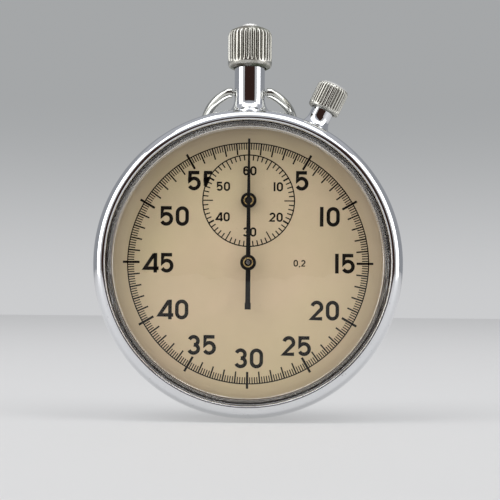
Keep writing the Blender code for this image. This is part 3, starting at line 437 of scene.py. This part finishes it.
def build_knobs():
    """The crown and the reset button, each with a socket below and the stem or plunger inside it."""
    build_knob("knurled_crown", [
        (0, CROWN_TOP), (1.35, CROWN_TOP - 0.02), (1.7, CROWN_TOP - 0.55), (2.6, CROWN_TOP - 0.72),
        (3.5, CROWN_TOP - 1.15), (3.88, CROWN_TOP - 1.6), (CROWN_R, CROWN_TOP - 2.1),
        (CROWN_R, CROWN_LOW + 0.75), (3.85, CROWN_LOW + 0.35), (3.3, CROWN_LOW + 0.02),
        (CROWN_SOCKET_R, CROWN_LOW + 0.02), (CROWN_SOCKET_R, CROWN_ROOF), (STEM_R, CROWN_ROOF),
        (STEM_R, STEM_TOP), (0, STEM_TOP)],
        0.12, knurl(CROWN_GROOVE_R, CROWN_R, CROWN_LOW + 0.95, 0.5),
        CROWN, "crown", "crown_and_stem", "crown")
    build_knob("knurled_button", [
        (0, CAP_TOP), (1.7, CAP_TOP - 0.03), (2.3, CAP_TOP - 0.2), (2.75, CAP_TOP - 0.5),
        (CAP_R, CAP_TOP - 0.95), (CAP_R, CAP_LOW + 0.35), (2.8, CAP_LOW + 0.1), (2.5, CAP_LOW),
        (CAP_SOCKET_R, CAP_LOW), (CAP_SOCKET_R, CAP_ROOF), (PLUNGER_R, CAP_ROOF), (PLUNGER_R, PLUNGER_TOP),
        (0, PLUNGER_TOP)],
        0.1, knurl(CAP_GROOVE_R, CAP_R, CAP_LOW + 0.4, 0.3),
        BUTTON, "button", "reset_button", "reset_button")


def bar(route, sides, square):
    """A round bar along a route of (x, y, radius). Its first and last few points are cut square to x."""
    points, faces = [], []
    for i, (x, y, radius) in enumerate(route):
        before, after = route[max(i - 1, 0)], route[min(i + 1, len(route) - 1)]
        along = Vector((after[0] - before[0], after[1] - before[1], 0)).normalized()
        if min(i, len(route) - 1 - i) < square:
            along = Vector((-1, 0, 0))
        across = Vector((-along.y, along.x, 0))
        for k in range(sides):
            turn = tau * k / sides
            points.append(tuple(Vector((x, y, 0)) + across * (radius * cos(turn))
                                + Vector((0, 0, radius * sin(turn)))))
    for i in range(len(route) - 1):
        for k in range(sides):
            following = (k + 1) % sides
            faces.append((i * sides + k, i * sides + following, (i + 1) * sides + following,
                          (i + 1) * sides + k))
    faces.append(tuple(range(sides))[::-1])
    faces.append(tuple(range((len(route) - 1) * sides, len(route) * sides)))
    return points, faces


def build_bow():
    """The wire bow: two thin pins, flat shouldered ends and a round loop that thins away from them."""
    ring_at = sqrt(BOW_RING_R**2 - BOW_SHOULDER_X**2)
    shoulder = atan2(-ring_at, -BOW_SHOULDER_X)
    route = [(-BOW_PIN_X, 0.0, BOW_PIN_R), (-BOW_END_X + 0.01, 0.0, BOW_PIN_R), (-BOW_END_X, 0.0, BOW_FACE_R),
             (-BOW_END_X - 0.06, 0.0, BOW_COLLAR_R)]
    end_points = route[::-1]
    for i in range(BOW_STEPS + 1):
        angle = shoulder + (-3 * pi - 2 * shoulder) * i / BOW_STEPS
        away = min(i, BOW_STEPS - i) / (BOW_STEPS / 2)
        radius = BOW_SHOULDER_R - (BOW_SHOULDER_R - BOW_WIRE_R) * min(1.0, away * 3)
        route.append((BOW_RING_R * cos(angle), ring_at + BOW_RING_R * sin(angle), radius))
    route += [(-x, y, radius) for x, y, radius in end_points]
    points, faces = bar(route, 28, 3)
    lean = WATCH @ Matrix.Translation((0, BOW_PIVOT, BUTTON_Z)) @ Matrix.Rotation(-pi + BOW_REST, 4, "X")
    piece("wire_bow", points, faces, lean, "bow_plate", "bow", ["bow"], 40)


# ---------------------------------------------------------------------------------------------------------
# Dial print and hands
# ---------------------------------------------------------------------------------------------------------
def arc(centre, across, up, start, end):
    """An elliptical arc, with angles in degrees."""
    points = 14
    return [(centre[0] + across * cos(radians(start + (end - start) * i / (points - 1))),
             centre[1] + up * sin(radians(start + (end - start) * i / (points - 1))))
            for i in range(points)]


def clockwise(share):
    """The angle of a share of a turn clockwise from the 12."""
    return pi / 2 - tau * share


# Each figure's strokes, in a cell one unit high, along the strokes' middles, and the figures' widths
FIGURES = {
    "0": [arc((0, 0.16), 0.245, 0.25, 0, 180) + arc((0, -0.16), 0.245, 0.25, 180, 360) + [(0.245, 0.16)]],
    "1": [[(0, 0.50), (0, -0.50)]],
    "2": [arc((0, 0.17), 0.24, 0.24, 165, -25) + [(-0.25, -0.41), (0.27, -0.41)]],
    "3": [arc((-0.01, 0.20), 0.22, 0.21, 160, -75) + [(0.0, 0.01)],
          [(0.0, 0.01)] + arc((-0.01, -0.195), 0.24, 0.215, 75, -160)],
    "4": [[(0.20, -0.50), (0.20, 0.49)], [(0.37, -0.28), (-0.33, -0.28), (0.14, 0.43)]],
    "5": [[(0.25, 0.41), (-0.22, 0.41), (-0.24, 0.0)] + arc((-0.02, -0.145), 0.26, 0.265, 130, -150)],
    "6": [arc((0, -0.16), 0.23, 0.25, 0, 360), [(-0.23, -0.14)] + arc((0.0, 0.12), 0.23, 0.29, 178, 40)],
    ",": [[(0.02, -0.40), (-0.05, -0.60)]],
}
FIGURE_WIDTHS = {"1": 0.37, ",": 0.33}
COMMON_WIDTH = 0.79


class Print:
    """Flat ink, gathered as thin closed strips in one mesh."""

    LOW, HIGH = DIAL_FACE - 0.02, DIAL_FACE + 0.012

    def __init__(self):
        self.points, self.faces = [], []

    def strip(self, route, half, keep=None):
        """A stroke of even width along the route; keep(x, y) drops the points that it refuses."""
        if keep:
            route = [p for p in filled(route, 0.06) if keep(*p)]
        if len(route) < 2:
            return
        base, count = len(self.points), len(route)
        closed = hypot(route[0][0] - route[-1][0], route[0][1] - route[-1][1]) < 1e-6
        for i, (x, y) in enumerate(route):
            before = route[i - 1] if i else (route[-2] if closed else None)
            after = route[i + 1] if i < count - 1 else (route[1] if closed else None)
            side, stretch = self.side(before, (x, y), after)
            for shift in (half * stretch, -half * stretch):
                for z in (self.HIGH, self.LOW):
                    self.points.append((x + side[0] * shift, y + side[1] * shift, z))
        for i in range(count - 1):
            a, b = base + i * 4, base + i * 4 + 4
            self.faces += [(a, a + 2, b + 2, b), (a + 1, b + 1, b + 3, a + 3), (a, b, b + 1, a + 1),
                           (a + 2, a + 3, b + 3, b + 2)]
        last = base + (count - 1) * 4
        self.faces += [(base, base + 1, base + 3, base + 2), (last, last + 2, last + 3, last + 1)]

    @staticmethod
    def side(before, here, after):
        """The direction across a stroke at a point, and how far a mitred corner stretches it."""
        ways = []
        for a, b in ((before, here), (here, after)):
            if a and b:
                length = hypot(b[0] - a[0], b[1] - a[1]) or 1.0
                ways.append(((b[0] - a[0]) / length, (b[1] - a[1]) / length))
        mean = (sum(w[0] for w in ways), sum(w[1] for w in ways))
        length = hypot(*mean) or 1.0
        along = (mean[0] / length, mean[1] / length)
        bend = max(0.5, ways[0][0] * along[0] + ways[0][1] * along[1])
        return (-along[1], along[0]), 1 / bend

    def ring(self, centre, radius, width, points):
        self.strip([step(centre, tau * i / points, radius) for i in range(points)]
                   + [step(centre, 0, radius)], width / 2)

    def tick(self, centre, angle, inner, outer, width):
        self.strip([step(centre, angle, inner), step(centre, angle, outer)], width / 2)

    def scale(self, centre, radius, marks, ticks):
        """Ticks round a circle. Each mark takes the first kind of tick whose every divides its number."""
        for i in range(marks):
            inwards, outwards, width = next(sizes for every, sizes in ticks if i % every == 0)
            self.tick(centre, clockwise(i / marks), radius - inwards, radius + outwards, width)

    def number(self, text, centre, height, stroke, keep=None):
        widths = [FIGURE_WIDTHS.get(figure, COMMON_WIDTH) * height for figure in text]
        at = centre[0] - sum(widths) / 2
        for figure, width in zip(text, widths):
            middle = at + width / 2
            for strokes in FIGURES[figure]:
                route = [(middle + x * height, centre[1] + y * height) for x, y in strokes]
                self.strip(route, stroke / 2, keep)
            at += width


# Each scale number's distance from the middle, and how many degrees it stands lower than its tick
SCALE_NUMBERS = {5: (17.35, 2.8), 10: (16.5, 0), 15: (17.0, 0), 20: (15.85, 1.5), 25: (16.9, -0.7),
                 30: (16.75, 0.8), 35: (16.55, 1.0), 40: (15.4, 2.6), 45: (15.65, 0.4), 50: (15.4, -2.0),
                 55: (16.65, -0.3)}
# Each counter number's place, from the middle of the counter
COUNTER_NUMBERS = {10: (5.2, 2.5), 20: (4.85, -2.9), 30: (0.2, -5.55), 40: (-4.5, -2.9), 50: (-4.5, 2.5),
                   60: (0.15, 5.3)}
# Every how many marks a tick comes, and its length inwards, its length outwards and its width
SCALE_TICKS = ((25, (2.1, 0.85, 0.40)), (5, (2.05, 0.0, 0.26)), (1, (1.15, 0.0, 0.18)))
COUNTER_TICKS = ((10, (1.05, 0.0, 0.32)), (5, (1.8, 0.0, 0.20)), (1, (0.95, 0.0, 0.21)))
# Heights and stroke widths
SCALE_FIGURES, NOTE_FIGURES, COUNTER_FIGURES = (3.48, 0.63), (1.18, 0.21), (1.62, 0.32)


def draw_seconds_scale(art):
    art.ring((0, 0), SCALE_R, 0.20, 360)
    art.scale((0, 0), SCALE_R, 300, SCALE_TICKS)

    def clear_of_counter(x, y):
        return hypot(x - HOUR_AT[0], y - HOUR_AT[1]) > SUB_R

    for value, (reach, lean) in SCALE_NUMBERS.items():
        side = 1 if value < 30 else -1
        turn = clockwise(value / 60) - radians(lean) * side
        keep = clear_of_counter if value == 55 else None
        art.number(str(value), step((0, 0), turn, reach), *SCALE_FIGURES, keep)
    art.number("0,2", (9.05, 0.0), *NOTE_FIGURES)


def draw_minute_counter(art):
    art.ring(HOUR_AT, SUB_R, 0.21, 200)
    art.scale(HOUR_AT, SUB_R, 60, COUNTER_TICKS)
    for value, (x, y) in COUNTER_NUMBERS.items():
        art.number(str(value), (HOUR_AT[0] + x, HOUR_AT[1] + y), *COUNTER_FIGURES)


def build_dial():
    art = Print()
    draw_seconds_scale(art)
    draw_minute_counter(art)
    piece("dial_print", art.points, art.faces, WATCH, "print", "case", [], 30)


def hand_mesh(outline, low, high):
    """A hand cut from sheet: its outline, with its edges bevelled towards the reader."""
    count = len(outline)
    inset, longest_mitre = 0.06, 1.5
    points = [(x, y, low) for x, y in outline] + [(x, y, high - inset) for x, y in outline]
    top_edge = []
    for i, (x, y) in enumerate(outline):
        before, after = outline[i - 1], outline[(i + 1) % count]
        side, stretch = Print.side(before, (x, y), after)
        shift = min(stretch, longest_mitre) * inset
        top_edge.append((x + side[0] * shift, y + side[1] * shift, high))
    points += top_edge
    faces = []
    for i in range(count):
        following = (i + 1) % count
        faces.append((i, following, count + following, count + i))
        faces.append((count + i, count + following, 2 * count + following, 2 * count + i))
    faces.append(tuple(range(2 * count, 3 * count)))
    faces.append(tuple(range(count))[::-1])
    return points, faces


def sweep(start, end, radius, steps):
    """Points round the middle from one angle to another, without the two ends."""
    return [step((0, 0), start + (end - start) * i / steps, radius) for i in range(1, steps)]


def hand(name, at, hub_r, sides, tail, low, high, body, nodes):
    """A hand that points to the 12. sides are (distance, half width) from the hub out, and tail the same."""
    right = [(half, reach) for reach, half in sides]
    left = [(-half, reach) for reach, half in sides[::-1]]
    start, end = atan2(right[0][1], right[0][0]), atan2(left[-1][1], left[-1][0])
    outline = right + left
    if tail:
        low_left = [(-half, -reach) for reach, half in tail]
        low_right = [(half, -reach) for reach, half in tail[::-1]]
        first = atan2(low_left[0][1], low_left[0][0]) + tau
        last = atan2(low_right[-1][1], low_right[-1][0]) + tau
        outline += sweep(end, first, hub_r, 12) + low_left + low_right + sweep(last, start + tau, hub_r, 12)
    else:
        outline += sweep(end, start + tau, hub_r, 40)
    outline = [(at[0] + x, at[1] + y) for x, y in outline]
    points, faces = hand_mesh(outline, low, high)
    piece(name, points, faces, WATCH, "hand", body, nodes, 25)


def hub(name, at, low, high, body):
    """The brass collar and the dark arbor's end in the middle of a hand."""
    shift = WATCH @ Matrix.Translation((*at, 0))
    boss_r = HUB_BORE_R - 0.02
    turned(name + "_collar", [
        (HUB_BORE_R, high), (HUB_R - 0.06, high), (HUB_R, high - 0.07), (HUB_R, low), (HUB_BORE_R, low)],
        shift, "brass", body, [], 64, 0.05)
    turned(name + "_boss", [
        (0, high + 0.05), (boss_r - 0.14, high + 0.05), (boss_r, high - 0.06), (boss_r, low), (0, low)],
        shift, "hand", body, [], 64, 0.06)


def build_hands():
    hand("sweep_seconds_hand", (0, 0), 1.4, [(1.34, 0.40), (8, 0.34), (15, 0.25), (21.8, 0.12)],
         [(1.33, 0.42), (7.0, 0.44), (7.05, 0.53), (8.2, 0.53)], *SWEEP_HAND_Z,
         "seconds_train", ["sweep_hand"])
    hub("sweep_hub", (0, 0), *SWEEP_HUB_Z, "seconds_train")
    hand("minute_counter_hand", HOUR_AT, 1.38, [(1.35, 0.26), (4, 0.2), (6.9, 0.1)], None, *MINUTE_HAND_Z,
         "hour_train", ["minute_hand"])
    hub("minute_hub", HOUR_AT, *MINUTE_HUB_Z, "hour_train")


build_case()
build_knobs()
build_bow()
build_dial()
build_hands()

# The pieces of the movement stay as they are, with finished metals
DETAIL = {"black": "hand", "nickel": "steel", "chrome": "chrome", "acrylic": "crystal", "dial": "dial"}
slot_of = {row["node"]: row["material_slot"] for row in frame["record"]["subparts"]}
for name, node in frame["nodes"].items():
    slot = slot_of[name]
    node.data.materials.clear()
    node.data.materials.append(MAT[DETAIL.get(slot, slot)])

# ---------------------------------------------------------------------------------------------------------
# Floor, backdrop, light and camera
# ---------------------------------------------------------------------------------------------------------
# Lengths here are in metres
FLOOR_Z, FLOOR_GAP, FLOOR_SIZE = -0.0275, 0.0002, 4.0
FLOOR_GREY, FLOOR_GLOW = 0.31, 0.35
LIGHTS_AIM = Vector((0, -0.008, 0))
WALLS, READER_WALLS, OPENING = (0.30, 0.31, 0.33), (0.55, 0.55, 0.55), (0.035, 0.018, 0.014)
CEILING = (0.45, 0.46, 0.49)
BACKDROP_LOW, BACKDROP_HIGH = (0.60, 0.605, 0.615), (0.375, 0.385, 0.392)
CAMERA_REACH, FRAME_WIDTH = 0.190, 0.0875
CAMERA_X, CAMERA_DROP, FRAME_PLANE = 0.0004, 0.00775, 0.0125
CAMERA_TILT, CAMERA_ROLL = radians(3.0), radians(-0.5)


def build_floor():
    """A pale floor just under the watch, with a faint glow that keeps it even."""
    m = Nodes("pale_floor")
    shade = FLOOR_GREY * 0.97
    m.set(Base_Color=m.blend(m.noise(scale=30), (FLOOR_GREY,) * 3, (shade,) * 3), Roughness=0.7,
          Emission_Color=(1, 1, 1), Emission_Strength=FLOOR_GLOW)
    bpy.ops.mesh.primitive_plane_add(size=FLOOR_SIZE, location=(0, 0, FLOOR_Z - FLOOR_GAP))
    made = bpy.context.object
    made.name = "floor"
    made.data.materials.append(m.material)


def softbox(name, location, size, power):
    light = bpy.data.lights.new(name, "AREA")
    light.shape = "RECTANGLE"
    light.size, light.size_y = size
    light.energy = power
    made = bpy.data.objects.new(name, light)
    bpy.context.scene.collection.objects.link(made)
    made.location = location
    made.rotation_euler = (Vector(location) - LIGHTS_AIM).to_track_quat("Z", "Y").to_euler()


def build_world():
    """A white studio round the watch with a dark opening on the reader's side, and plain grey behind it."""
    world = bpy.data.worlds.new("studio")
    bpy.context.scene.world = world
    world.use_nodes = True
    tree = world.node_tree

    def node(kind, **settings):
        made = tree.nodes.new(kind)
        for key, value in settings.items():
            setattr(made, key, value)
        return made

    def vector(operation, a, b):
        made = node("ShaderNodeVectorMath", operation=operation)
        tree.links.new(a, made.inputs[0])
        if b:
            made.inputs[1].default_value = b
        return made.outputs["Value" if operation == "DOT_PRODUCT" else "Vector"]

    def ramp(value, low, high):
        made = node("ShaderNodeMapRange", interpolation_type="SMOOTHSTEP")
        tree.links.new(value, made.inputs["Value"])
        made.inputs["From Min"].default_value = low
        made.inputs["From Max"].default_value = high
        return made.outputs["Result"]

    def mix(share, a, b):
        made = node("ShaderNodeMix", data_type="RGBA")
        tree.links.new(share, made.inputs[0])
        for socket, value in ((made.inputs[6], a), (made.inputs[7], b)):
            if isinstance(value, tuple):
                socket.default_value = (*value, 1)
            else:
                tree.links.new(value, socket)
        return made.outputs[2]

    way = node("ShaderNodeTexCoord").outputs["Generated"]
    level = vector("NORMALIZE", vector("MULTIPLY", way, (1, 1, 0)), None)
    to_reader = vector("DOT_PRODUCT", level, (0, -1, 0))
    upwards = vector("DOT_PRODUCT", way, (0, 0, 1))
    walls = mix(ramp(to_reader, 0.10, 0.45), WALLS, READER_WALLS)
    opened = mix(ramp(to_reader, 0.75, 0.79), walls, OPENING)
    studio = mix(ramp(upwards, 0.55, 0.66), opened, CEILING)
    backdrop = mix(ramp(upwards, -0.01, 0.19), BACKDROP_LOW, BACKDROP_HIGH)
    seen = mix(node("ShaderNodeLightPath").outputs["Is Camera Ray"], studio, backdrop)
    tree.links.new(seen, tree.nodes["Background"].inputs["Color"])
    tree.nodes["Background"].inputs["Strength"].default_value = 1.0


def build_camera():
    camera = bpy.data.cameras.new("camera")
    camera.sensor_width = 36
    camera.lens = camera.sensor_width * CAMERA_REACH / FRAME_WIDTH
    camera.clip_start, camera.clip_end = 0.01, 20
    viewpoint = bpy.data.objects.new("camera", camera)
    bpy.context.scene.collection.objects.link(viewpoint)
    viewpoint.location = (CAMERA_X, -FRAME_PLANE - CAMERA_REACH, -CAMERA_DROP)
    viewpoint.rotation_euler = (pi / 2 + CAMERA_TILT, CAMERA_ROLL, 0)
    bpy.context.scene.camera = viewpoint


build_floor()
softbox("top_softbox", (0, -0.36, 1.20), (1.40, 0.80), 3.6)
softbox("upper_left_softbox", (-0.48, -0.34, 1.10), (0.45, 0.80), 3.1)
softbox("upper_right_softbox", (0.48, -0.34, 1.10), (0.45, 0.80), 2.7)
softbox("left_softbox", (-0.45, -0.15, 0.14), (0.24, 0.60), 1.3)
softbox("right_softbox", (0.45, -0.15, 0.14), (0.24, 0.60), 0.95)
build_world()
build_camera()
bpy.context.scene.view_settings.view_transform = "Standard"
